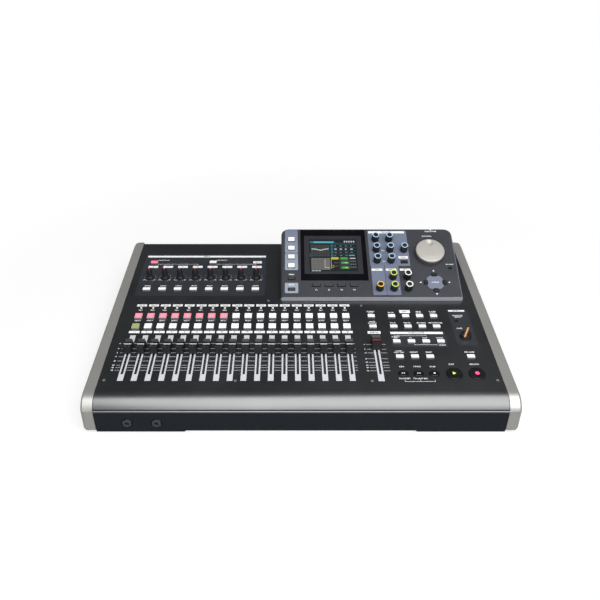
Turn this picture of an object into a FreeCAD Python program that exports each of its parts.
import FreeCAD, Part
import math
import os

# Desktop multitrack recorder: a sloping control panel that ends in a rounded palm rest, two side
# cheeks and a tilted display unit. Millimetres, +Z up, front towards -Y.
# The origin is on the table, under the middle of the recorder.

Vector = FreeCAD.Vector
Rotation = FreeCAD.Rotation
Placement = FreeCAD.Placement
X_AXIS = Vector(1, 0, 0)
Z_AXIS = Vector(0, 0, 1)

# Whole recorder
WIDTH = 514.0
DEPTH = 340.7
FOOT_LIFT = 1.5
GAP = 0.3
BEYOND = 100.0

# Main panel: a plane that rises to the rear, given by its height at the nose
PANEL_NOSE_Z = 44.4
PANEL_SLOPE = 1.76
PANEL_WALL = 2.5
PANEL_SEAM = 0.5
PALM_START = 24.0
PALM_RADIUS = 24.0
PALM_END_Z = 34.6
REAR_EDGE_RADIUS = 2.8
REAR_SKIRT = 4.5
REAR_SET_BACK = 1.2

# Side cheeks
CHEEK_WIDTH = 14.35
CHEEK_WALL = 3.0
CHEEK_PROUD = 0.6
CHEEK_BEVEL = 2.6
CHEEK_PLAN_RADIUS = 9.0
CHEEK_NOSE_RADIUS = 7.0
CHEEK_LIFT = 0.8
CHEEK_PALM_DROP = 1.5

# Lower case
CASE_WALL = 2.5
CASE_FRONT_WALL = 3.0
FRONT_TOP_Y = 3.4
FRONT_FOOT_Y = 0.8
FRONT_LIP_RADIUS = 0.9
RELIEF_DEPTH = 1.6
RELIEF_TOP_Z = 19.0
RELIEF_TOP_HALF = 119.5
RELIEF_FOOT_HALF = 138.0
POST_RADIUS = 3.5
POST_INSET = 6.35
POST_FRONT_Y = 42.0
INNER_POSTS_X = [-78.5, 85.5]
INNER_POSTS_Y = 41.1
DISPLAY_POST_SPOT = (17.2, 194.0)
MASTER_POST_SPOT = (11.5, 183.2)

# Feet
FOOT_RADIUS = 9.0
FOOT_POCKET = 1.5
FOOT_INSET = 37.35
FOOT_FRONT_Y = 28.0
FOOT_REAR_Y = 305.0

# Rear panel
REAR_PANEL_INSET = 9.7
REAR_PANEL_WALL = 1.2

# Display unit: a tilted housing that stands on the main panel
DISPLAY_MARGIN = 14.35
DISPLAY_WIDTH = 253.6
DISPLAY_FRONT_Y = 191.56
DISPLAY_FRONT_Z = 55.34
DISPLAY_SLOPE = 20.05
DISPLAY_LENGTH = 126.2
DISPLAY_WALL = 2.5
DISPLAY_REAR_RADIUS = 11.0
DISPLAY_FRONT_RADIUS = 1.5
DISPLAY_BEVEL = 2.0
HOUSING_STEPS = 4
DISPLAY_CHIN = 3.2
DISPLAY_CHIN_DROP = 5.1
WIRE_SLOT_MARGIN = 10.3
WIRE_SLOT_FRONT = 200.0
WIRE_SLOT_REAR = 246.0

# Screen: a dark window with a cut-out, and the screen module behind it. Places on the display
# unit are given from its left edge and up its slope.
WINDOW_LEFT = 28.6
WINDOW_WIDTH = 95.2
WINDOW_FRONT = 31.7
WINDOW_REAR = 123.4
WINDOW_THICKNESS = 1.6
SCREEN_X = 75.7
SCREEN_T = 77.6
SCREEN_FRAME_WIDTH = 84.2
SCREEN_FRAME_HEIGHT = 69.4
SCREEN_FRAME_DEPTH = 8.0
PICTURE_WIDTH = 69.6
PICTURE_HEIGHT = 58.2
PICTURE_DROP = 1.3
PICTURE_RECESS = 0.8
SCREEN_SINK = 0.1

# Track columns: eighteen faders with their record and select buttons
TRACKS = 18
TRACK_MARGIN = 25.85
RECORD_ROW_Y = 160.0
SELECT_ROW_Y = 139.0
TRACK_KEY = 10.4
TRACK_KEY_HEIGHT = 2.2

# Faders
FADER_TRAVEL = 45.0
FADER_LOWEST_Y = 60.0
FADER_REST_Y = 95.5
MASTER_INSET = 145.65
MASTER_SPACING = 34.49
MASTER_REST_Y = 103.0
FADER_SLOT_WIDTH = 2.2
FADER_SLOT_SPARE = 8.0
CAP_WIDTH = 10.0
MASTER_CAP_WIDTH = 12.4
CAP_LENGTH = 18.0
CAP_TOP_LENGTH = 15.0
CAP_HEIGHT = 12.0
CAP_WAIST = 9.6
CAP_BRIM = 3.4
CAP_LIFT = 1.0
CAP_DRAFT = 0.7
CAP_FACETS = 4
STEM_WIDTH = 1.2
STEM_LENGTH = 4.0
FADER_BODY_WIDTH = 9.0
FADER_BODY_HEIGHT = 7.5
FADER_BODY_SPARE = 1.0

# Input section
INPUTS = 8
INPUT_MARGIN = 25.55
INPUT_SPACING = 36.61
TRIM_ROW_Y = 248.7
INPUT_KEY_ROW_Y = 220.0
PHANTOM_ROW_Y = 286.2
PHANTOM_SHARE = 4
WIDE_KEY = 11.2
FLAT_KEY = 6.4
KEY_HEIGHT = 1.8

# Function keys of the right half. Places here are given from the panel's right edge and the nose.
FUNCTION_INSET = 118.25
FUNCTION_PITCH = 18.9
FUNCTION_COLUMNS = 4
FUNCTION_KEY = 10.2
FUNCTION_ROWS = [160.3, 139.0, 110.0]
SHORT_ROW_Y = 82.0
SHORT_ROW_KEYS = 3
MASTER_KEY_ROWS = [160.3, 139.0]
CLEAR_KEY_SPOT = (29.35, 82.2)
MONITOR_KEY_SPOT = (32.55, 151.0)
MONITOR_KEY_RADIUS = 2.0

# Transport keys
TRANSPORT_Y = 52.5
TRANSPORT_KEY = 12.4
TRANSPORT_KEY_DEPTH = 9.0
TRANSPORT_KEYS = 3
PLAY_INSET = 55.95
RECORD_INSET = 28.65
PAD_RADIUS = 10.1
PAD_HEIGHT = 1.6

# Keys on the display unit
SIDE_KEY_X = 14.9
SIDE_KEY_ROWS = [56.8, 72.6, 88.6, 104.8]
SIDE_KEY_WIDTH = 10.0
SIDE_KEY_DEPTH = 7.6
LOW_KEY_ROWS = [35.0, 16.6]
SOFT_KEY_FIRST_X = 49.8
SOFT_KEY_PITCH = 17.7
SOFT_KEY_ROW = 23.5
SOFT_KEYS = 4
SOFT_KEY_WIDTH = 11.4
SOFT_KEY_DEPTH = 5.2
BAND_KEY_SPOT = (177.6, 64.1)
CURSOR_X = 217.7
CURSOR_T = 28.2
CURSOR_REACH = 13.4
CURSOR_KEY_WIDTH = 7.0
CURSOR_KEY_DEPTH = 5.0
LOW_KEY_HEIGHT = 1.0

# Key mechanics
KEY_SIDE_GAP = 0.3
KEY_REACH = 1.0
KEY_DRAFT = 0.35
KEY_EDGE = 0.5

# Rotary controls
SPINDLE_RADIUS = 3.0
SPINDLE_SIDES = 6
KNOB_FLUTES = 12
ROUND_SIDES = 12
SMALL_SIDES = 8
PAD_SIDES = 16
POT_WIDTH = 9.5
POT_LENGTH = 11.0
POT_HEIGHT = 6.5
KNOB_LIFT = 0.6
TRIM_SKIRT_RADIUS = 5.9
TRIM_GRIP_RADIUS = 4.4
TRIM_TOP_RADIUS = 3.7
TRIM_SKIRT_HEIGHT = 3.0
TRIM_HEIGHT = 14.5
ENCODER_RADIUS = 5.5
ENCODER_TOP_RADIUS = 5.2
ENCODER_HEIGHT = 12.3
ENCODER_COLUMNS = [138.4, 158.5, 178.7]
ENCODER_ROWS = [17.2, 36.7, 65.8, 85.3, 104.5]
ENCODERS = {
    "eq_knob_1": (0, 4),
    "eq_knob_2": (1, 4),
    "eq_knob_3": (0, 3),
    "eq_knob_4": (1, 3),
    "eq_knob_5": (2, 3),
    "eq_knob_6": (0, 2),
    "eq_knob_7": (1, 2),
    "send_knob_1": (1, 1),
    "send_knob_2": (1, 0),
    "pan_knob": (0, 0),
    "loop_knob_1": (2, 1),
    "loop_knob_2": (2, 0),
}
MONITOR_KNOB_SPOT = (27.65, 119.0)
MONITOR_KNOB_RADIUS = 7.6
MONITOR_KNOB_TOP_RADIUS = 6.6
MONITOR_KNOB_HEIGHT = 11.0
MONITOR_FIN_WIDTH = 3.4
MONITOR_FIN_HEIGHT = 1.6
MONITOR_FIN_SHORT = 1.5
MONITOR_FIN_ROOT = 3.0
MONITOR_TURN = -24.0
JOG_X = 215.2
JOG_T = 78.0
JOG_RADIUS = 20.5
JOG_SKIRT_RADIUS = 19.6
JOG_HEIGHT = 10.0
JOG_SIDES = 40
JOG_DOME = 0.7
JOG_CROWN_RADIUS = 11.5
JOG_RIM = 1.2
JOG_DIMPLE_RADIUS = 5.6
JOG_DIMPLE_FLOOR_RADIUS = 3.6
JOG_DIMPLE_DEPTH = 1.4
JOG_DIMPLE_REACH = 12.6
JOG_TURN = 5.0

# Quarter-inch jack sockets: a boxed body behind the wall, with a six-sided collar through it
JACK_BORE_RADIUS = 3.2
JACK_BORE_LENGTH = 18.0
JACK_COLLAR_RADIUS = 5.6
JACK_COLLAR_HEIGHT = 2.5
JACK_SIDES = 6
JACK_BODY_SIZE = 12.5
JACK_BODY_DEPTH = 20.0
FRONT_JACK_Z = 15.0
FRONT_JACK_INSETS = [38.15, 72.85]
FRONT_DISH_RADIUS = 7.0
FRONT_DISH_DEPTH = 1.0

# Rear sockets: the microphone sockets each over a line jack, then eleven evenly spaced places
MIC_SOCKETS = 8
MIC_SIDES = 10
MIC_MARGIN = 20.65
MIC_ROW_Z = 36.5
MIC_EXTRA_PITCH = 5.7
MIC_FLANGE_RADIUS = 12.2
MIC_FLANGE_HEIGHT = 1.5
MIC_BODY_DEPTH = 19.0
MIC_BARREL_RADIUS = 10.1
MIC_INSERT_RADIUS = 7.6
MIC_GROOVE_RADIUS = 9.2
MIC_GROOVE_DEPTH = 12.0
LOW_ROW_Z = 15.0
SOCKET_MARGIN = 16.65
SOCKET_GROUP_GAP = 37.5
SOCKET_PLACES = 11
SOCKET_PROUD = 0.5
OUTPUT_JACKS = 4
PHONO_HIGH_Z = 33.0
PHONO_RADIUS = 4.15
PHONO_HOLE_RADIUS = 1.7
PHONO_HOLE_DEPTH = 12.0
PHONO_REACH = 8.0
PHONO_BASE = 11.0
PHONO_BODY_DEPTH = 9.0
ROUND_PORT_RADIUS = 8.2
ROUND_PORT_FACE = 6.9
ROUND_PORT_GROOVE = 1.3
ROUND_PORT_GROOVE_DEPTH = 7.0
ROUND_PORT_DEPTH = 14.0
ROUND_PORT_Z = 17.0
USB_WIDTH = 8.5
USB_HEIGHT = 7.8
USB_DEPTH = 16.0
USB_MOUTH_DEPTH = 9.0
USB_SHELL = 1.2
USB_TONGUE_WIDTH = 5.6
USB_TONGUE_HEIGHT = 3.2
CARD_Z = 36.0
CARD_WIDTH = 24.6
CARD_THICKNESS = 2.6
CARD_DEPTH = 26.0
CARD_SURROUND = 3.0
CARD_BACK = 2.0
POWER_INLET_SIZE = 11.0
POWER_INLET_HOLE = 3.2
POWER_INLET_HOLE_DEPTH = 9.0
POWER_INLET_PIN = 1.0
POWER_INLET_DEPTH = 13.0
POWER_BUTTON_RADIUS = 4.5
POWER_BUTTON_PROUD = 3.0
POWER_BUTTON_BACK = 8.0
POWER_TRAVEL = 2.0
POWER_GUIDE_WALL = 1.6
POWER_SWITCH_DEPTH = 10.0
POWER_SWITCH_SIZE = 12.0

# Circuit boards
BOARD = 1.6
BOARD_FRONT_Y = 48.0
BOARD_REAR_Y = 176.0
BOARD_MARGIN = 13.65
INPUT_BOARD_MARGIN = 11.65
INPUT_BOARD_SPACING = 24.7
INPUT_BOARD_FRONT = 210.0
INPUT_BOARD_SHORT = 35.0
DISPLAY_BOARD_FRONT = 24.0
DISPLAY_BOARD_MARGIN = 6.0
MAIN_BOARD_Z = 10.0
MAIN_BOARD_MARGIN = 48.0
MAIN_BOARD_FRONT = 60.0
MAIN_BOARD_SHORT = 46.0
STAND_OFF_RADIUS = 3.0
STAND_OFF_INSET = 8.0
JACK_BOARD_TOP = 49.0
JACK_BOARD_OVERHANG = 10.0

# Worked-out places
PANEL_TAN = math.tan(math.radians(PANEL_SLOPE))
PANEL_HALF = WIDTH / 2 - CHEEK_WIDTH
CASE_HALF = PANEL_HALF - GAP
CASE_FLOOR_Z = FOOT_LIFT + CASE_WALL
LEDGE_Z = PALM_END_Z - GAP
FRONT_LEAN = (FRONT_TOP_Y - FRONT_FOOT_Y) / (LEDGE_Z - FOOT_LIFT)
REAR_PANEL_Y = DEPTH - REAR_PANEL_INSET
DISPLAY_LEFT = PANEL_HALF - DISPLAY_MARGIN - DISPLAY_WIDTH
MASTER_X = PANEL_HALF - MASTER_INSET
TRACK_FIRST_X = TRACK_MARGIN - PANEL_HALF
TRACK_PITCH = (MASTER_X - MASTER_SPACING - TRACK_FIRST_X) / (TRACKS - 1)
TRACK_XS = [TRACK_FIRST_X + n * TRACK_PITCH for n in range(TRACKS)]
INPUT_FIRST_X = INPUT_MARGIN - PANEL_HALF
INPUT_PITCH = (DISPLAY_LEFT - INPUT_SPACING - INPUT_FIRST_X) / (INPUTS - 1)
INPUT_XS = [INPUT_FIRST_X + n * INPUT_PITCH for n in range(INPUTS)]
PHANTOM_KEYS_X = INPUT_XS[::PHANTOM_SHARE]
FUNCTION_XS = [PANEL_HALF - FUNCTION_INSET + n * FUNCTION_PITCH for n in range(FUNCTION_COLUMNS)]
FRONT_JACKS_X = [inset - PANEL_HALF for inset in FRONT_JACK_INSETS]
MIC_FIRST_X = MIC_MARGIN - PANEL_HALF
SOCKET_LAST_X = PANEL_HALF - SOCKET_MARGIN
SOCKET_ROOM = SOCKET_LAST_X - MIC_FIRST_X - SOCKET_GROUP_GAP - (MIC_SOCKETS - 1) * MIC_EXTRA_PITCH
SOCKET_PITCH = SOCKET_ROOM / (MIC_SOCKETS + SOCKET_PLACES - 2)
MIC_PITCH = SOCKET_PITCH + MIC_EXTRA_PITCH
MIC_XS = [MIC_FIRST_X + n * MIC_PITCH for n in range(MIC_SOCKETS)]
SOCKET_XS = [SOCKET_LAST_X + (n + 1 - SOCKET_PLACES) * SOCKET_PITCH for n in range(SOCKET_PLACES)]
OUTPUT_JACKS_X = SOCKET_XS[:OUTPUT_JACKS]
PHONO_NEAR_X, PHONO_FAR_X, PORT_NEAR_X, PORT_FAR_X = SOCKET_XS[OUTPUT_JACKS:-3]
USB_X, POWER_INLET_X, POWER_BUTTON_X = SOCKET_XS[-3:]
PHONO_SPOTS = [(PHONO_NEAR_X, LOW_ROW_Z), (PHONO_NEAR_X, PHONO_HIGH_Z), (PHONO_FAR_X, LOW_ROW_Z)]
ROUND_PORTS_X = [PORT_NEAR_X, PORT_FAR_X]
BODY_TOP = -(PANEL_WALL + GAP)
DISPLAY_BODY_TOP = -(DISPLAY_WALL + GAP)


def row_y(y):
    """Turn a distance from the nose into the frame's y."""
    return y - DEPTH / 2


def panel_z(y):
    """Height of the main panel's surface at a distance from the nose."""
    return PANEL_NOSE_Z + y * PANEL_TAN


def on_panel(x, y, turn=0.0):
    """Place a piece drawn at the origin on the main panel, standing square to it."""
    tilt = Rotation(X_AXIS, PANEL_SLOPE).multiply(Rotation(Z_AXIS, turn))
    return Placement(Vector(x, row_y(y), panel_z(y)), tilt)


def on_right_block(inset, y):
    """The same, at a distance from the panel's right edge."""
    return on_panel(PANEL_HALF - inset, y)


def on_display(x, t):
    """Place a piece drawn at the origin on the display unit, by its left edge and its slope."""
    slope = math.radians(DISPLAY_SLOPE)
    y = row_y(DISPLAY_FRONT_Y) + t * math.cos(slope)
    base = Vector(DISPLAY_LEFT + x, y, DISPLAY_FRONT_Z + t * math.sin(slope))
    return Placement(base, Rotation(X_AXIS, DISPLAY_SLOPE))


def on_rear(x, z):
    """Place a socket drawn along +Z so that its mouth faces the rear, on the rear panel's face."""
    return Placement(Vector(x, row_y(REAR_PANEL_Y + REAR_PANEL_WALL), z), Rotation(X_AXIS, -90))


def front_face_y(z):
    """The leaning front face's distance from the nose at a height."""
    return FRONT_FOOT_Y + (z - FOOT_LIFT) * FRONT_LEAN


def on_front(x, z, sink):
    """Place a socket drawn along +Z so that its mouth faces the front, sunk by a depth."""
    return Placement(Vector(x, row_y(front_face_y(z) + sink), z), Rotation(X_AXIS, 90))


def placed(shape, placement):
    """A copy of a shape drawn at the origin, put in its place."""
    copy = shape.copy()
    copy.Placement = placement.multiply(copy.Placement)
    return copy


def block(width, length, low, high, x=0.0, y=0.0):
    """A block centred on x and y, from a low to a high level."""
    return Part.makeBox(width, length, high - low, Vector(x - width / 2, y - length / 2, low))


def disc(radius, low, high):
    return Part.makeCylinder(radius, high - low, Vector(0, 0, low))


def rectangle(width, depth, z):
    """The corners of a level rectangle."""
    x, y = width / 2, depth / 2
    return [Vector(x, y, z), Vector(-x, y, z), Vector(-x, -y, z), Vector(x, -y, z)]


def oval(width, depth, z, sides, x=0.0, y=0.0):
    """The corners of a level oval with straight flanks: a circle's, where both sizes are the same."""
    corners = []
    for n in range(sides):
        angle = 2 * math.pi * (n + 0.5) / sides
        shift = math.copysign((width - depth) / 2, math.cos(angle))
        across = shift + depth / 2 * math.cos(angle)
        corners.append(Vector(x + across, y + depth / 2 * math.sin(angle), z))
    return corners


def stacked(rings):
    """A flat-sided solid through level rings of corners, given upwards."""
    faces = []
    for lower, upper in zip(rings, rings[1:]):
        for n in range(len(lower)):
            after = (n + 1) % len(lower)
            corners = [lower[n], lower[after], upper[after], upper[n]]
            faces.append(Part.Face(Part.makePolygon(corners + corners[:1])))
    for ring in (rings[0], rings[-1]):
        faces.append(Part.Face(Part.makePolygon(ring + ring[:1])))
    return Part.makeSolid(Part.makeShell(faces))


def fluted(points, sides, x=0.0, y=0.0):
    """A body with flat flutes around z, from its outline given upwards as (radius, z)."""
    return stacked([oval(2 * radius, 2 * radius, z, sides, x, y) for radius, z in points])


def prism(radius, low, high, sides, x=0.0, y=0.0):
    """A regular prism, by the radius to its corners."""
    return fluted([(radius, low), (radius, high)], sides, x, y)


def turning_hole(low, high, x=0.0, y=0.0):
    """A hole in which a spindle's corners turn freely."""
    corner = (SPINDLE_RADIUS + GAP) / math.cos(math.pi / SPINDLE_SIDES)
    return prism(corner, low, high, SPINDLE_SIDES, x, y)


def wire_of(points):
    """A flat closed wire through points given as (y from the nose, z), in the plane x = 0."""
    corners = [Vector(0, row_y(y), z) for y, z in points]
    return Part.makePolygon(corners + corners[:1])


def extruded(wire, left, right):
    """Extrude a flat wire that lies in the plane x = 0 from a left to a right x."""
    section = Part.Face(wire)
    section.translate(Vector(left, 0, 0))
    return section.extrude(Vector(right - left, 0, 0))


def line(start, end):
    a = Vector(0, row_y(start[0]), start[1])
    b = Vector(0, row_y(end[0]), end[1])
    return Part.LineSegment(a, b).toShape()


def arc(start, middle, end):
    a, b, c = [Vector(0, row_y(y), z) for y, z in (start, middle, end)]
    return Part.Arc(a, b, c).toShape()


def palm_point(radius, angle):
    """A point on the palm rest's curve, by its angle from the panel's normal."""
    slope = math.radians(PANEL_SLOPE)
    centre_y = PALM_START + PALM_RADIUS * math.sin(slope)
    centre_z = panel_z(PALM_START) - PALM_RADIUS * math.cos(slope)
    return centre_y - radius * math.sin(angle), centre_z + radius * math.cos(angle)


def palm_curve(radius, low_z):
    """The palm rest's curve at a radius, as three points from a height up to the panel's plane."""
    slope = math.radians(PANEL_SLOPE)
    centre_z = panel_z(PALM_START) - PALM_RADIUS * math.cos(slope)
    low_angle = math.acos((low_z - centre_z) / radius)
    return [palm_point(radius, angle) for angle in (low_angle, (low_angle + slope) / 2, slope)]


def under_panel(y, inset):
    """A point square below the panel's surface by an inset, at a distance from the nose."""
    return y, panel_z(y) - inset / math.cos(math.radians(PANEL_SLOPE))


def panel_section(inset, rear_y, foot_z):
    """Section under the panel's surface, inset from it, closed at the palm rest's end and the rear."""
    low, middle, top = palm_curve(PALM_RADIUS - inset, foot_z)
    rear_top = under_panel(rear_y, inset)
    rear_low = (rear_y, foot_z)
    edges = [arc(low, middle, top), line(top, rear_top), line(rear_top, rear_low), line(rear_low, low)]
    return Part.Wire(edges)


def main_key_spots():
    """Every rectangular key on the main panel: name of its group, x, y, width, depth, height."""
    spots = []
    for x in TRACK_XS:
        spots.append(("record_buttons", x, RECORD_ROW_Y, TRACK_KEY, TRACK_KEY, TRACK_KEY_HEIGHT))
        spots.append(("select_buttons", x, SELECT_ROW_Y, TRACK_KEY, TRACK_KEY, TRACK_KEY_HEIGHT))
    wide = [(x, INPUT_KEY_ROW_Y) for x in INPUT_XS]
    wide += [(x, PHANTOM_ROW_Y) for x in PHANTOM_KEYS_X]
    small = [(MASTER_X, y) for y in MASTER_KEY_ROWS]
    small += [(x, y) for y in FUNCTION_ROWS for x in FUNCTION_XS]
    small += [(x, SHORT_ROW_Y) for x in FUNCTION_XS[:SHORT_ROW_KEYS]]
    small.append((PANEL_HALF - CLEAR_KEY_SPOT[0], CLEAR_KEY_SPOT[1]))
    for x, y in wide:
        spots.append(("panel_buttons", x, y, WIDE_KEY, FLAT_KEY, KEY_HEIGHT))
    for x, y in small:
        spots.append(("panel_buttons", x, y, FUNCTION_KEY, FLAT_KEY, KEY_HEIGHT))
    return spots


def display_key_spots():
    """Every key on the display unit: x, distance up the slope, width, depth, height."""
    spots = [(SIDE_KEY_X, t, SIDE_KEY_WIDTH, SIDE_KEY_DEPTH, KEY_HEIGHT) for t in SIDE_KEY_ROWS]
    spots += [(SIDE_KEY_X, t, SIDE_KEY_WIDTH, SOFT_KEY_DEPTH, LOW_KEY_HEIGHT) for t in LOW_KEY_ROWS]
    for n in range(SOFT_KEYS):
        x = SOFT_KEY_FIRST_X + n * SOFT_KEY_PITCH
        spots.append((x, SOFT_KEY_ROW, SOFT_KEY_WIDTH, SOFT_KEY_DEPTH, LOW_KEY_HEIGHT))
    spots.append(BAND_KEY_SPOT + (SIDE_KEY_WIDTH, SOFT_KEY_DEPTH, LOW_KEY_HEIGHT))
    for side in (-CURSOR_REACH, CURSOR_REACH):
        spots.append((CURSOR_X + side, CURSOR_T, CURSOR_KEY_DEPTH, CURSOR_KEY_WIDTH, LOW_KEY_HEIGHT))
        spots.append((CURSOR_X, CURSOR_T + side, CURSOR_KEY_WIDTH, CURSOR_KEY_DEPTH, LOW_KEY_HEIGHT))
    return spots


def transport_spots():
    """The transport keys and pads: x, width, depth and number of flat sides."""
    spots = [(x, TRANSPORT_KEY, TRANSPORT_KEY_DEPTH, ROUND_SIDES) for x in FUNCTION_XS[:TRANSPORT_KEYS]]
    for inset in (PLAY_INSET, RECORD_INSET):
        spots.append((PANEL_HALF - inset, 2 * PAD_RADIUS, 2 * PAD_RADIUS, PAD_SIDES))
    return spots


def fader_spots():
    """Each fader's name, x, resting y and cap width."""
    spots = [("fader_cap_%02d" % (n + 1), x, FADER_REST_Y, CAP_WIDTH) for n, x in enumerate(TRACK_XS)]
    spots.append(("master_fader_cap", MASTER_X, MASTER_REST_Y, MASTER_CAP_WIDTH))
    return spots


def panel_hole(width, depth):
    """The hole around a key in the main panel."""
    side = 2 * KEY_SIDE_GAP
    return block(width + side, depth + side, -2 * PANEL_WALL, PANEL_WALL)


def make_top_panel():
    """The control panel and palm rest in one shell, with every slot and hole through it."""
    rear = DEPTH - REAR_SET_BACK
    half = PANEL_HALF - PANEL_SEAM
    outer = extruded(panel_section(0, rear, PALM_END_Z), -half, half)
    rear_top = [e for e in outer.Edges if e.Length > 2 * half - 1
                and min(v.Z for v in e.Vertexes) > panel_z(rear) - 0.1]
    outer = outer.makeFillet(REAR_EDGE_RADIUS, rear_top)
    inner = extruded(panel_section(PANEL_WALL, rear - PANEL_WALL, PALM_END_Z - 1), -half - 1, half + 1)
    panel = outer.cut(inner)
    skirt_foot = panel_z(rear) - PANEL_WALL - REAR_SKIRT
    corner = Vector(-half - BEYOND, row_y(rear) - 3 * PANEL_WALL, 0)
    panel = panel.cut(Part.makeBox(2 * (half + BEYOND), 4 * PANEL_WALL, skirt_foot, corner))

    holes = []
    low, high = -2 * PANEL_WALL, PANEL_WALL
    slot_length = FADER_TRAVEL + 2 * FADER_SLOT_SPARE
    slot = block(FADER_SLOT_WIDTH, slot_length, low, high)
    for _, x, _, _ in fader_spots():
        holes.append(placed(slot, on_panel(x, FADER_LOWEST_Y + FADER_TRAVEL / 2)))
    for _, x, y, width, depth, _ in main_key_spots():
        holes.append(placed(panel_hole(width, depth), on_panel(x, y)))
    for x, width, depth, sides in transport_spots():
        side = 2 * KEY_SIDE_GAP
        rings = [oval(width + side, depth + side, z, sides) for z in (low, high)]
        holes.append(placed(stacked(rings), on_panel(x, TRANSPORT_Y)))
    monitor_hole = prism(MONITOR_KEY_RADIUS + KEY_SIDE_GAP, low, high, SMALL_SIDES)
    holes.append(placed(monitor_hole, on_right_block(*MONITOR_KEY_SPOT)))
    for x in INPUT_XS:
        holes.append(placed(turning_hole(low, high), on_panel(x, TRIM_ROW_Y)))
    holes.append(placed(turning_hole(low, high), on_right_block(*MONITOR_KNOB_SPOT)))
    slot_width = DISPLAY_WIDTH - 2 * WIRE_SLOT_MARGIN
    wire_slot = block(slot_width, WIRE_SLOT_REAR - WIRE_SLOT_FRONT, low, high)
    middle_y = (WIRE_SLOT_FRONT + WIRE_SLOT_REAR) / 2
    holes.append(placed(wire_slot, on_panel(DISPLAY_LEFT + DISPLAY_WIDTH / 2, middle_y)))
    return panel.cut(Part.Compound(holes))


def post_spots():
    """The screw posts that carry the top panel, as x and y."""
    side = CASE_HALF - POST_INSET
    spots = [(-side, POST_FRONT_Y), (side, POST_FRONT_Y)]
    spots += [(x, INNER_POSTS_Y) for x in INNER_POSTS_X]
    spots.append((DISPLAY_LEFT - DISPLAY_POST_SPOT[0], DISPLAY_POST_SPOT[1]))
    spots.append((MASTER_X - MASTER_POST_SPOT[0], MASTER_POST_SPOT[1]))
    return spots


def main_board_edges():
    """The main board's left, right, front and rear edges."""
    side = CASE_HALF - MAIN_BOARD_MARGIN
    return -side, side, MAIN_BOARD_FRONT, REAR_PANEL_Y - MAIN_BOARD_SHORT


def foot_spots():
    side = CASE_HALF - FOOT_INSET
    return [(x, y) for y in (FOOT_FRONT_Y, FOOT_REAR_Y) for x in (-side, 0, side)]


def make_front_relief():
    """The tool for the shallow relief with slanted ends in the middle of the front face."""
    low = FOOT_LIFT - RELIEF_DEPTH
    floor_y = FRONT_FOOT_Y + RELIEF_DEPTH
    section = [(front_face_y(RELIEF_TOP_Z), RELIEF_TOP_Z), (-RELIEF_DEPTH, RELIEF_TOP_Z),
               (-RELIEF_DEPTH, low), (floor_y, low), (floor_y, FOOT_LIFT)]
    relief = extruded(wire_of(section), -RELIEF_FOOT_HALF, RELIEF_FOOT_HALF)
    foot_half, top_half = RELIEF_FOOT_HALF, RELIEF_TOP_HALF
    flank = [(-foot_half, low), (foot_half, low), (foot_half, FOOT_LIFT), (top_half, RELIEF_TOP_Z),
             (-top_half, RELIEF_TOP_Z), (-foot_half, FOOT_LIFT)]
    corners = [Vector(x, 0, z) for x, z in flank]
    window = Part.Face(Part.makePolygon(corners + corners[:1])).extrude(Vector(0, -DEPTH, 0))
    return relief.common(window)


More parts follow.
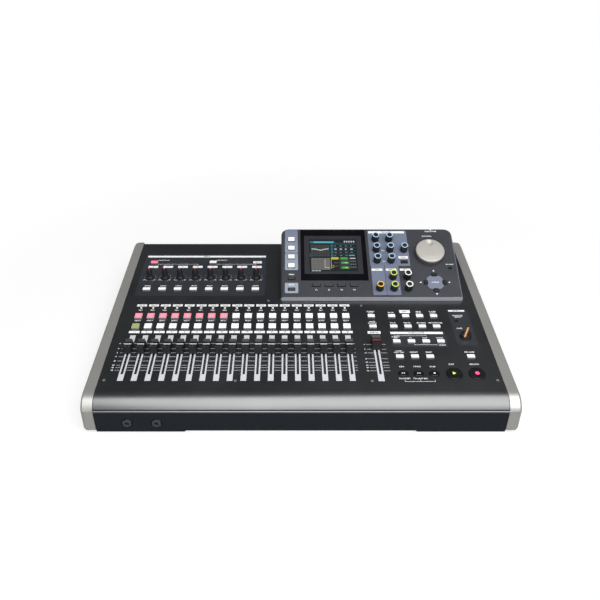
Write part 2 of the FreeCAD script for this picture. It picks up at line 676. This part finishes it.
def make_lower_case():
    """The tray with floor, side walls and screw posts, and the leaning front wall just ahead of it."""
    inset = PANEL_WALL + GAP
    ledge, bend, top = palm_curve(PALM_RADIUS - inset, LEDGE_Z)
    rear_y = DEPTH - REAR_SET_BACK - PANEL_WALL - GAP
    shoulder_y = REAR_PANEL_Y - GAP
    drop_z = under_panel(rear_y, inset)[1] - REAR_SKIRT
    front_top = (FRONT_TOP_Y, LEDGE_Z)
    front_foot = (FRONT_FOOT_Y, FOOT_LIFT)
    corners = [top, under_panel(shoulder_y, inset), (shoulder_y, drop_z), (rear_y, drop_z),
               (rear_y, FOOT_LIFT), front_foot, front_top, ledge]
    edges = [arc(ledge, bend, top)] + [line(a, b) for a, b in zip(corners, corners[1:])]
    case = extruded(Part.Wire(edges), -CASE_HALF, CASE_HALF)
    lip = [e for e in case.Edges if e.Length > 2 * CASE_HALF - 1
           and abs(e.Vertexes[0].Y - row_y(FRONT_TOP_Y)) < 0.01 and abs(e.Vertexes[0].Z - LEDGE_Z) < 0.01]
    case = case.makeFillet(FRONT_LIP_RADIUS, lip)

    inside = CASE_HALF - CASE_WALL
    above = panel_z(DEPTH)
    wall = CASE_FRONT_WALL
    cavity = [(front_face_y(CASE_FLOOR_Z) + wall, CASE_FLOOR_Z), (FRONT_TOP_Y + wall, LEDGE_Z),
              (FRONT_TOP_Y + wall, above), (DEPTH, above), (DEPTH, CASE_FLOOR_Z)]
    case = case.cut(extruded(wire_of(cavity), -inside, inside))

    root = CASE_FLOOR_Z - CASE_WALL / 2
    ceiling = placed(block(2 * WIDTH, 3 * DEPTH, -inset, BEYOND), on_panel(0, DEPTH / 2))
    posts = [prism(POST_RADIUS, root, above, SMALL_SIDES, x, row_y(y)).cut(ceiling) for x, y in post_spots()]
    left, right, front, rear = main_board_edges()
    stand_offs = []
    for x in (left + STAND_OFF_INSET, (left + right) / 2, right - STAND_OFF_INSET):
        for y in (front + STAND_OFF_INSET, rear - STAND_OFF_INSET):
            stand_offs.append(prism(STAND_OFF_RADIUS, root, MAIN_BOARD_Z - GAP, SPINDLE_SIDES, x, row_y(y)))
    case = case.fuse(posts + stand_offs)

    tools = [make_front_relief()]
    for x in FRONT_JACKS_X:
        dish = prism(FRONT_DISH_RADIUS, -FRONT_DISH_DEPTH, FRONT_DISH_RADIUS, PAD_SIDES)
        through = prism(JACK_COLLAR_RADIUS + GAP, -2 * CASE_FRONT_WALL, 0, JACK_SIDES)
        tools.append(placed(dish.fuse(through), on_front(x, FRONT_JACK_Z, 0)))
    for x, y in foot_spots():
        pocket = prism(FOOT_RADIUS + GAP, 0, FOOT_LIFT + FOOT_POCKET, ROUND_SIDES, x, row_y(y))
        tools.append(pocket)
    case = case.cut(tools)

    behind = [(front_face_y(0) + wall, 0), (front_face_y(above) + wall, above), (-wall, above), (-wall, 0)]
    wall_zone = extruded(wire_of(behind), -WIDTH, WIDTH)
    clear_zone = placed(wall_zone, Placement(Vector(0, GAP, 0), Rotation()))
    return Part.Compound(case.common(wall_zone).Solids + case.cut(clear_zone).Solids)


def make_feet():
    top = FOOT_LIFT + FOOT_POCKET - GAP
    foot = prism(FOOT_RADIUS, 0, top, ROUND_SIDES)
    places = [Placement(Vector(x, row_y(y), 0), Rotation()) for x, y in foot_spots()]
    return Part.Compound([placed(foot, place) for place in places])


def make_right_cheek():
    """A side cheek whose edge follows the panel and the palm rest, bevelled outside, open inside."""
    radius = PALM_RADIUS + CHEEK_PROUD
    low, middle, top = palm_curve(radius, PALM_END_Z - CHEEK_PALM_DROP)
    rear_top = under_panel(DEPTH, -CHEEK_PROUD)
    turn = CHEEK_NOSE_RADIUS
    corner = turn * (1 - math.sqrt(0.5))
    nose_foot = (turn, CHEEK_LIFT)
    nose_bend = (corner, CHEEK_LIFT + corner)
    nose_side = (0.0, CHEEK_LIFT + turn)
    edges = [arc(low, middle, top), line(top, rear_top), line(rear_top, (DEPTH, CHEEK_LIFT)),
             line((DEPTH, CHEEK_LIFT), nose_foot), arc(nose_foot, nose_bend, nose_side), line(nose_side, low)]
    section = Part.Wire(edges)
    inner_x = PANEL_HALF
    outer_x = WIDTH / 2
    bevel_x = outer_x - CHEEK_BEVEL
    inset = Part.Face(section).makeOffset2D(-CHEEK_BEVEL, join=2).OuterWire
    rims = [placed(section, Placement(Vector(bevel_x, 0, 0), Rotation())),
            placed(inset, Placement(Vector(outer_x, 0, 0), Rotation()))]
    cheek = extruded(section, inner_x, bevel_x).fuse(Part.makeLoft(rims, True, True))
    plan = CHEEK_PLAN_RADIUS
    rounding = Part.makeCylinder(plan, BEYOND, Vector(outer_x - plan, row_y(DEPTH) - plan, 0))
    square = Part.makeBox(plan, plan, BEYOND, Vector(outer_x - plan, row_y(DEPTH) - plan, 0))
    cheek = cheek.cut(square.cut(rounding))

    wall = CHEEK_WALL
    low, middle, top = palm_curve(radius - wall, PALM_END_Z - CHEEK_PALM_DROP)
    rear_y = DEPTH - CHEEK_PLAN_RADIUS
    corners = [top, under_panel(rear_y, wall), (rear_y, CHEEK_LIFT + wall), (turn, CHEEK_LIFT + wall), low]
    hollow = [arc(low, middle, top)] + [line(a, b) for a, b in zip(corners, corners[1:])]
    return cheek.cut(extruded(Part.Wire(hollow), inner_x - 1, outer_x - wall))


def make_left_cheek():
    return make_right_cheek().mirror(Vector(0, 0, 0), X_AXIS)


def rear_block(width, height, grow):
    """A rectangular hole tool for the rear panel."""
    return block(width + 2 * grow, height + 2 * grow, -2 * REAR_PANEL_WALL, REAR_PANEL_WALL)


def make_rear_panel():
    """A flat sheet closing the case at the rear, with a hole for every socket."""
    half = CASE_HALF - CASE_WALL - GAP
    low = CASE_FLOOR_Z + GAP
    high = under_panel(REAR_PANEL_Y, PANEL_WALL + GAP)[1] - GAP
    sheet = Part.makeBox(2 * half, REAR_PANEL_WALL, high - low, Vector(-half, row_y(REAR_PANEL_Y), low))
    rounds = [(x, MIC_ROW_Z, MIC_BARREL_RADIUS + GAP, MIC_SIDES) for x in MIC_XS]
    rounds += [(x, LOW_ROW_Z, JACK_COLLAR_RADIUS + GAP, JACK_SIDES) for x in MIC_XS + OUTPUT_JACKS_X]
    rounds += [(x, z, PHONO_RADIUS + GAP, SMALL_SIDES) for x, z in PHONO_SPOTS]
    rounds += [(x, ROUND_PORT_Z, ROUND_PORT_RADIUS + GAP, ROUND_SIDES) for x in ROUND_PORTS_X]
    rounds.append((POWER_BUTTON_X, LOW_ROW_Z, POWER_BUTTON_RADIUS + GAP, ROUND_SIDES))
    holes = []
    for x, z, radius, sides in rounds:
        holes.append(placed(prism(radius, -2 * REAR_PANEL_WALL, REAR_PANEL_WALL, sides), on_rear(x, z)))
    usb = rear_block(USB_WIDTH, USB_HEIGHT, USB_SHELL + GAP)
    card = rear_block(CARD_WIDTH, CARD_THICKNESS, CARD_SURROUND + GAP)
    inlet = rear_block(POWER_INLET_SIZE, POWER_INLET_SIZE, GAP)
    holes += [placed(usb, on_rear(USB_X, LOW_ROW_Z)), placed(card, on_rear(USB_X, CARD_Z))]
    holes.append(placed(inlet, on_rear(POWER_INLET_X, LOW_ROW_Z)))
    return sheet.cut(Part.Compound(holes))


def housing_ring(z, front, inset, rear_radius):
    """The display housing's level outline, with chamfered front and rounded rear corners."""
    right = DISPLAY_WIDTH / 2 - inset
    rear = DISPLAY_LENGTH - inset
    nip = DISPLAY_FRONT_RADIUS
    corners = [(right - nip, front), (right, front + nip)]
    for n in range(HOUSING_STEPS + 1):
        angle = math.pi / 2 * n / HOUSING_STEPS
        across = right - rear_radius * (1 - math.cos(angle))
        corners.append((across, rear - rear_radius * (1 - math.sin(angle))))
    corners += [(-x, y) for x, y in reversed(corners)]
    return [Vector(DISPLAY_WIDTH / 2 + x, y, z) for x, y in corners]


def make_display_housing():
    """The tilted housing: a shell with a bevelled front and rim, cut off just above the main panel."""
    bevel = DISPLAY_BEVEL
    chin_at_bevel = DISPLAY_CHIN * (1 - bevel / DISPLAY_CHIN_DROP)
    round_in = DISPLAY_REAR_RADIUS - bevel
    outer = stacked([housing_ring(-DISPLAY_LENGTH, 0, 0, DISPLAY_REAR_RADIUS),
                     housing_ring(-DISPLAY_CHIN_DROP, 0, 0, DISPLAY_REAR_RADIUS),
                     housing_ring(-bevel, chin_at_bevel, 0, DISPLAY_REAR_RADIUS),
                     housing_ring(0, DISPLAY_CHIN, bevel, round_in)])
    wall = DISPLAY_WALL
    inner_front = DISPLAY_CHIN + wall / 2
    inner_radius = DISPLAY_REAR_RADIUS - wall
    inner = stacked([housing_ring(-DISPLAY_LENGTH - 1, inner_front, wall, inner_radius),
                     housing_ring(-wall, inner_front, wall, inner_radius)])
    shell = outer.cut(inner)

    low, high = -2 * wall, wall
    window_x = WINDOW_LEFT + WINDOW_WIDTH / 2
    window_t = (WINDOW_FRONT + WINDOW_REAR) / 2
    rebate = block(WINDOW_WIDTH + 2 * GAP, WINDOW_REAR - WINDOW_FRONT + 2 * GAP, -WINDOW_THICKNESS, high,
                   window_x, window_t)
    side = 2 * GAP
    opening = block(SCREEN_FRAME_WIDTH + side, SCREEN_FRAME_HEIGHT + side, low, high, SCREEN_X, SCREEN_T)
    side = 2 * KEY_SIDE_GAP
    holes = []
    for x, t, width, depth, _ in display_key_spots():
        holes.append(block(width + side, depth + side, low, high, x, t))
    for column, row in ENCODERS.values():
        holes.append(turning_hole(low, high, ENCODER_COLUMNS[column], ENCODER_ROWS[row]))
    holes.append(turning_hole(low, high, JOG_X, JOG_T))
    shell = shell.cut(rebate.fuse(opening)).cut(Part.Compound(holes))
    shell = placed(shell, on_display(0, 0))
    floor = placed(block(3 * WIDTH, 3 * DEPTH, -2 * DISPLAY_LENGTH, GAP), on_panel(0, DEPTH / 2))
    return shell.cut(floor)


def make_display_window():
    height = WINDOW_REAR - WINDOW_FRONT
    low = -WINDOW_THICKNESS + GAP
    middle_t = (WINDOW_FRONT + WINDOW_REAR) / 2
    pane = block(WINDOW_WIDTH, height, low, 0, WINDOW_LEFT + WINDOW_WIDTH / 2, middle_t)
    side = 2 * GAP
    opening = block(SCREEN_FRAME_WIDTH + side, SCREEN_FRAME_HEIGHT + side, low - 1, 1, SCREEN_X, SCREEN_T)
    return placed(pane.cut(opening), on_display(0, 0))


def make_display_module():
    """The screen module: a framed block whose picture area is set in a little."""
    face = -SCREEN_SINK
    body = block(SCREEN_FRAME_WIDTH, SCREEN_FRAME_HEIGHT, -SCREEN_FRAME_DEPTH, face, SCREEN_X, SCREEN_T)
    picture_t = SCREEN_T - PICTURE_DROP
    picture = block(PICTURE_WIDTH, PICTURE_HEIGHT, face - PICTURE_RECESS, 1, SCREEN_X, picture_t)
    return placed(body.cut(picture), on_display(0, 0))


def make_fader_cap(width):
    """A fader cap with a hollowed top and drafted sides, on a flat stem that goes through the slot."""
    half = CAP_LENGTH / 2
    points = [(-half, CAP_BRIM), (-half, CAP_LIFT), (half, CAP_LIFT), (half, CAP_BRIM)]
    for n in range(CAP_FACETS + 1):
        share = 1 - 2 * n / CAP_FACETS
        points.append((share * CAP_TOP_LENGTH / 2, CAP_WAIST + (CAP_HEIGHT - CAP_WAIST) * share ** 2))
    corners = [Vector(-width / 2, y, z) for y, z in points]
    cap = Part.Face(Part.makePolygon(corners + corners[:1])).extrude(Vector(width, 0, 0))
    foot, crown = width / 2, width / 2 - CAP_DRAFT
    sides = [Vector(-foot, -half, CAP_LIFT), Vector(foot, -half, CAP_LIFT), Vector(crown, -half, CAP_HEIGHT),
             Vector(-crown, -half, CAP_HEIGHT)]
    draft = Part.Face(Part.makePolygon(sides + sides[:1])).extrude(Vector(0, CAP_LENGTH, 0))
    stem = block(STEM_WIDTH, STEM_LENGTH, -PANEL_WALL, CAP_LIFT + CAP_BRIM / 2)
    return cap.common(draft).fuse(stem)


def key_cap(width, depth, height, wall):
    """A drafted key that reaches down through its panel."""
    top = rectangle(width - 2 * KEY_DRAFT, depth - 2 * KEY_DRAFT, height)
    return stacked([rectangle(width, depth, -wall - KEY_REACH), top])


def make_keys(group):
    keys = []
    for name, x, y, width, depth, height in main_key_spots():
        if name == group:
            keys.append(placed(key_cap(width, depth, height, PANEL_WALL), on_panel(x, y)))
    if group == "panel_buttons":
        small = prism(MONITOR_KEY_RADIUS, -PANEL_WALL - KEY_REACH, LOW_KEY_HEIGHT, SMALL_SIDES)
        keys.append(placed(small, on_right_block(*MONITOR_KEY_SPOT)))
    return Part.Compound(keys)


def make_transport_buttons():
    keys = []
    for x, width, depth, sides in transport_spots():
        edge = 2 * KEY_EDGE
        key = stacked([oval(width, depth, -PANEL_WALL - KEY_REACH, sides),
                       oval(width, depth, PAD_HEIGHT - KEY_EDGE, sides),
                       oval(width - edge, depth - edge, PAD_HEIGHT, sides)])
        keys.append(placed(key, on_panel(x, TRANSPORT_Y)))
    return Part.Compound(keys)


def make_display_buttons():
    keys = []
    for x, t, width, depth, height in display_key_spots():
        keys.append(placed(key_cap(width, depth, height, DISPLAY_WALL), on_display(x, t)))
    return Part.Compound(keys)


def spindle(wall):
    """The spindle under a knob, through a wall down to its unit."""
    return prism(SPINDLE_RADIUS, -wall, KNOB_LIFT, SPINDLE_SIDES)


def make_trim_knob():
    """A skirted trim knob with a slim tapered grip, on its spindle."""
    low = KNOB_LIFT
    outline = [(TRIM_SKIRT_RADIUS, low), (TRIM_GRIP_RADIUS, low + TRIM_SKIRT_HEIGHT),
               (TRIM_TOP_RADIUS, TRIM_HEIGHT)]
    return fluted(outline, KNOB_FLUTES).fuse(spindle(PANEL_WALL))


def make_encoder_knob():
    outline = [(ENCODER_RADIUS, KNOB_LIFT), (ENCODER_TOP_RADIUS, ENCODER_HEIGHT)]
    return fluted(outline, KNOB_FLUTES).fuse(spindle(DISPLAY_WALL))


def make_monitor_knob():
    """The level knob: a tapered body with a raised pointer fin across its top."""
    crown = MONITOR_KNOB_HEIGHT
    knob = fluted([(MONITOR_KNOB_RADIUS, KNOB_LIFT), (MONITOR_KNOB_TOP_RADIUS, crown)], KNOB_FLUTES)
    length = 2 * MONITOR_KNOB_TOP_RADIUS - MONITOR_FIN_SHORT
    fin = block(MONITOR_FIN_WIDTH, length, crown - MONITOR_FIN_ROOT, crown + MONITOR_FIN_HEIGHT)
    fin.rotate(Vector(0, 0, 0), Z_AXIS, MONITOR_TURN)
    return knob.fuse([fin, spindle(PANEL_WALL)])


def make_jog_wheel():
    """The jog wheel: a shallow dome with a bevelled rim, an undercut skirt and a finger dimple."""
    crown = JOG_HEIGHT + JOG_DOME
    rim = JOG_HEIGHT - JOG_RIM
    wheel = fluted([(JOG_SKIRT_RADIUS, KNOB_LIFT), (JOG_SKIRT_RADIUS, JOG_TURN), (JOG_RADIUS, JOG_TURN),
                    (JOG_RADIUS, rim), (JOG_RADIUS - JOG_RIM, JOG_HEIGHT),
                    (JOG_CROWN_RADIUS, crown)], JOG_SIDES)
    dimple_z = JOG_HEIGHT - JOG_DIMPLE_DEPTH
    slant = (JOG_DIMPLE_RADIUS - JOG_DIMPLE_FLOOR_RADIUS) / (crown - dimple_z)
    mouth = JOG_DIMPLE_RADIUS + slant
    dimple_outline = [(JOG_DIMPLE_FLOOR_RADIUS, dimple_z), (mouth, crown + 1)]
    dimple = fluted(dimple_outline, PAD_SIDES, 0, JOG_DIMPLE_REACH)
    return wheel.cut(dimple).fuse(spindle(DISPLAY_WALL))


def knob_spots():
    """Every rotary control: its name, its place, and its shape's maker."""
    spots = []
    for n, x in enumerate(INPUT_XS):
        spots.append(("trim_knob_%d" % (n + 1), on_panel(x, TRIM_ROW_Y), make_trim_knob))
    for name, (column, row) in ENCODERS.items():
        spots.append((name, on_display(ENCODER_COLUMNS[column], ENCODER_ROWS[row]), make_encoder_knob))
    spots.append(("monitor_knob", on_right_block(*MONITOR_KNOB_SPOT), make_monitor_knob))
    spots.append(("jog_wheel", on_display(JOG_X, JOG_T), make_jog_wheel))
    return spots


def make_control_units():
    """The sliding and rotary units, each close under its panel."""
    units = []
    length = FADER_TRAVEL + 2 * (FADER_SLOT_SPARE + FADER_BODY_SPARE)
    unit = block(FADER_BODY_WIDTH, length, BODY_TOP - FADER_BODY_HEIGHT, BODY_TOP)
    for _, x, _, _ in fader_spots():
        units.append(placed(unit, on_panel(x, FADER_LOWEST_Y + FADER_TRAVEL / 2)))
    for _, place, maker in knob_spots():
        top = BODY_TOP if maker in (make_trim_knob, make_monitor_knob) else DISPLAY_BODY_TOP
        units.append(placed(block(POT_WIDTH, POT_LENGTH, top - POT_HEIGHT, top), place))
    return Part.Compound(units)


def make_circuit_boards():
    """The boards that carry the controls, the main board, and the board behind the rear jacks."""
    fader_foot = BODY_TOP - FADER_BODY_HEIGHT - GAP
    control_width = 2 * (CASE_HALF - BOARD_MARGIN)
    control = block(control_width, BOARD_REAR_Y - BOARD_FRONT_Y, fader_foot - BOARD, fader_foot)
    boards = [placed(control, on_panel(0, (BOARD_FRONT_Y + BOARD_REAR_Y) / 2))]

    pot_foot = BODY_TOP - POT_HEIGHT - GAP
    left = INPUT_BOARD_MARGIN - PANEL_HALF
    right = DISPLAY_LEFT - INPUT_BOARD_SPACING
    rear = REAR_PANEL_Y - INPUT_BOARD_SHORT
    input_board = block(right - left, rear - INPUT_BOARD_FRONT, pot_foot - BOARD, pot_foot)
    boards.append(placed(input_board, on_panel((left + right) / 2, (INPUT_BOARD_FRONT + rear) / 2)))

    pot_foot = DISPLAY_BODY_TOP - POT_HEIGHT - GAP
    rear = DISPLAY_LENGTH - DISPLAY_BOARD_MARGIN
    display_board = block(DISPLAY_WIDTH - 2 * DISPLAY_BOARD_MARGIN, rear - DISPLAY_BOARD_FRONT,
                          pot_foot - BOARD, pot_foot)
    boards.append(placed(display_board, on_display(DISPLAY_WIDTH / 2, (DISPLAY_BOARD_FRONT + rear) / 2)))

    left, right, front, rear = main_board_edges()
    main = Part.makeBox(right - left, rear - front, BOARD, Vector(left, row_y(front), MAIN_BOARD_Z))
    for x, y in post_spots():
        main = main.cut(prism(POST_RADIUS + 2 * GAP, 0, BEYOND, SMALL_SIDES, x, row_y(y)))
    boards.append(main)

    back = REAR_PANEL_Y - 2 * GAP - JACK_BODY_DEPTH - BOARD
    left = MIC_FIRST_X - MIC_BARREL_RADIUS
    right = max(OUTPUT_JACKS_X) + JACK_BOARD_OVERHANG
    rear_board = Part.makeBox(right - left, BOARD, JACK_BOARD_TOP - CASE_FLOOR_Z - GAP,
                              Vector(left, row_y(back), CASE_FLOOR_Z + GAP))
    boards.append(rear_board)
    return Part.Compound(boards)


def make_jack(wall):
    """A quarter-inch jack socket, drawn with its wall's face at z = 0: body, collar and bore."""
    inner = -wall - GAP
    mouth = JACK_COLLAR_HEIGHT
    body = block(JACK_BODY_SIZE, JACK_BODY_SIZE, inner - JACK_BODY_DEPTH, inner)
    collar = prism(JACK_COLLAR_RADIUS, inner - 1, mouth, JACK_SIDES)
    return body.fuse(collar).cut(disc(JACK_BORE_RADIUS, mouth - JACK_BORE_LENGTH, mouth + 1))


def make_audio_jacks():
    rear_jack = make_jack(REAR_PANEL_WALL)
    jacks = [placed(rear_jack, on_rear(x, LOW_ROW_Z)) for x in MIC_XS + OUTPUT_JACKS_X]
    lean_room = JACK_BODY_SIZE / 2 * FRONT_LEAN
    front_jack = make_jack(CASE_FRONT_WALL - FRONT_DISH_DEPTH + lean_room)
    jacks += [placed(front_jack, on_front(x, FRONT_JACK_Z, FRONT_DISH_DEPTH)) for x in FRONT_JACKS_X]
    return Part.Compound(jacks)


def make_mic_socket():
    """A microphone socket: a flange before the wall, a barrel behind it, and a groove round the insert."""
    face = GAP + MIC_FLANGE_HEIGHT
    barrel = prism(MIC_BARREL_RADIUS, -MIC_BODY_DEPTH, face, MIC_SIDES)
    flange = prism(MIC_FLANGE_RADIUS, GAP, face, MIC_SIDES)
    groove = prism(MIC_GROOVE_RADIUS, face - MIC_GROOVE_DEPTH, face + 1, MIC_SIDES)
    insert = prism(MIC_INSERT_RADIUS, face - MIC_GROOVE_DEPTH - 1, face + 2, MIC_SIDES)
    return barrel.fuse(flange).cut(groove.cut(insert))


def make_phono_socket():
    inner = -REAR_PANEL_WALL - GAP
    base = block(PHONO_BASE, PHONO_BASE, inner - PHONO_BODY_DEPTH, inner)
    barrel = prism(PHONO_RADIUS, inner - 1, PHONO_REACH, SMALL_SIDES)
    hole = prism(PHONO_HOLE_RADIUS, PHONO_REACH - PHONO_HOLE_DEPTH, PHONO_REACH + 1, SMALL_SIDES)
    return base.fuse(barrel).cut(hole)


def make_round_port():
    body = prism(ROUND_PORT_RADIUS, -ROUND_PORT_DEPTH, SOCKET_PROUD, ROUND_SIDES)
    groove = prism(ROUND_PORT_FACE, -ROUND_PORT_GROOVE_DEPTH, 1, ROUND_SIDES)
    core = prism(ROUND_PORT_FACE - ROUND_PORT_GROOVE, -ROUND_PORT_DEPTH, 2, ROUND_SIDES)
    return body.cut(groove.cut(core))


def make_power_switch():
    """The switch behind the power button, with the tube that guides the button."""
    back = -POWER_BUTTON_BACK - POWER_TRAVEL - GAP
    switch = block(POWER_SWITCH_SIZE, POWER_SWITCH_SIZE, back - POWER_SWITCH_DEPTH, back)
    bore_radius = POWER_BUTTON_RADIUS + GAP
    guide = prism(bore_radius + POWER_GUIDE_WALL, back - 1, -REAR_PANEL_WALL - GAP, ROUND_SIDES)
    return switch.fuse(guide).cut(prism(bore_radius, back, 1, ROUND_SIDES))


def make_rear_sockets():
    """Microphone, phono, round five-pin, USB, card and power sockets, each at its hole."""
    sockets = [placed(make_mic_socket(), on_rear(x, MIC_ROW_Z)) for x in MIC_XS]
    sockets += [placed(make_phono_socket(), on_rear(x, z)) for x, z in PHONO_SPOTS]
    sockets += [placed(make_round_port(), on_rear(x, ROUND_PORT_Z)) for x in ROUND_PORTS_X]
    usb = block(USB_WIDTH + 2 * USB_SHELL, USB_HEIGHT + 2 * USB_SHELL, -USB_DEPTH, SOCKET_PROUD)
    usb = usb.cut(block(USB_WIDTH, USB_HEIGHT, -USB_MOUTH_DEPTH, 1))
    usb = usb.fuse(block(USB_TONGUE_WIDTH, USB_TONGUE_HEIGHT, -USB_MOUTH_DEPTH - 1, -1))
    sockets.append(placed(usb, on_rear(USB_X, LOW_ROW_Z)))
    side = 2 * CARD_SURROUND
    card = block(CARD_WIDTH + side, CARD_THICKNESS + side, -CARD_DEPTH, SOCKET_PROUD)
    card = card.cut(block(CARD_WIDTH, CARD_THICKNESS, CARD_BACK - CARD_DEPTH, 1))
    sockets.append(placed(card, on_rear(USB_X, CARD_Z)))
    inlet = block(POWER_INLET_SIZE, POWER_INLET_SIZE, -POWER_INLET_DEPTH, SOCKET_PROUD)
    inlet = inlet.cut(prism(POWER_INLET_HOLE, -POWER_INLET_HOLE_DEPTH, 1, ROUND_SIDES))
    inlet = inlet.fuse(prism(POWER_INLET_PIN, -POWER_INLET_HOLE_DEPTH - 1, -1, SMALL_SIDES))
    sockets.append(placed(inlet, on_rear(POWER_INLET_X, LOW_ROW_Z)))
    sockets.append(placed(make_power_switch(), on_rear(POWER_BUTTON_X, LOW_ROW_Z)))
    return Part.Compound(sockets)


def make_power_button():
    radius = POWER_BUTTON_RADIUS
    outline = [(radius, -POWER_BUTTON_BACK), (radius, POWER_BUTTON_PROUD - KEY_EDGE),
               (radius - KEY_EDGE, POWER_BUTTON_PROUD)]
    return placed(fluted(outline, ROUND_SIDES), on_rear(POWER_BUTTON_X, LOW_ROW_Z))


def build():
    """Every sub-part of the recorder by its name."""
    nodes = {
        "lower_case": make_lower_case(),
        "rear_panel": make_rear_panel(),
        "top_panel": make_top_panel(),
        "left_cheek": make_left_cheek(),
        "right_cheek": make_right_cheek(),
        "display_housing": make_display_housing(),
        "display_window": make_display_window(),
        "display_module": make_display_module(),
        "circuit_boards": make_circuit_boards(),
        "control_units": make_control_units(),
        "audio_jacks": make_audio_jacks(),
        "rear_sockets": make_rear_sockets(),
        "feet": make_feet(),
        "record_buttons": make_keys("record_buttons"),
        "select_buttons": make_keys("select_buttons"),
        "panel_buttons": make_keys("panel_buttons"),
        "transport_buttons": make_transport_buttons(),
        "display_buttons": make_display_buttons(),
        "power_button": make_power_button(),
    }
    for name, x, y, width in fader_spots():
        nodes[name] = placed(make_fader_cap(width), on_panel(x, y))
    for name, place, maker in knob_spots():
        nodes[name] = placed(maker(), place)
    return nodes


os.makedirs("parts", exist_ok=True)
for node_name, node_shape in build().items():
    node_shape.exportStep("parts/%s.step" % node_name)
print("wrote the sub-parts")
